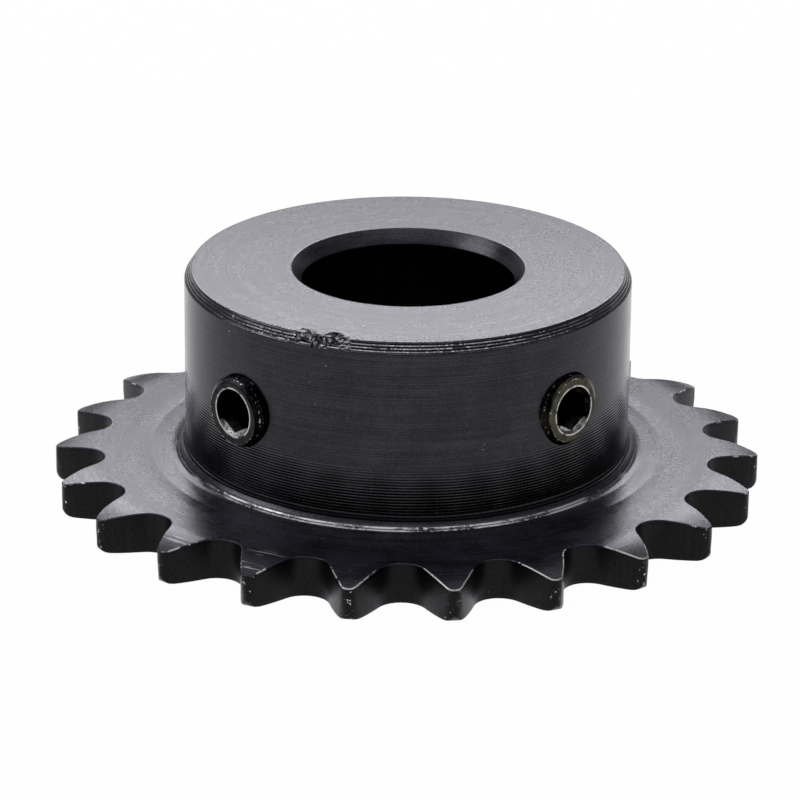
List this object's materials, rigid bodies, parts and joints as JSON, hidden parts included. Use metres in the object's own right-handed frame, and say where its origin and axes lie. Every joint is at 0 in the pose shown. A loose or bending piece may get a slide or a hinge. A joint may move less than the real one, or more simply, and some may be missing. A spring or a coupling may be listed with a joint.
{
  "type": "chain sprocket",
  "caption": "Small roller-chain sprocket: toothed steel plate with a one-sided hub, a plain round bore and radial set screws, black-oxide finish.",
  "frame": {"origin": "centre of the bore at the plate's flat underside", "axes": "+Z along the bore axis, out of the hub's end; a gap between two teeth is centred on -Y, with the set screws 45 degrees to each side of it"},
  "size_m": [0.048, 0.0476, 0.0157],
  "materials": {
    "black_oxide_steel": "turned and milled steel, blackened, satin",
    "set_screw_steel": "dark alloy steel, worn bright on its rim and socket edge"
  },
  "bodies": {
    "root": {"sprocket_body": "black_oxide_steel", "set_screw_left": "set_screw_steel", "set_screw_right": "set_screw_steel"}
  },
  "joints": []
}
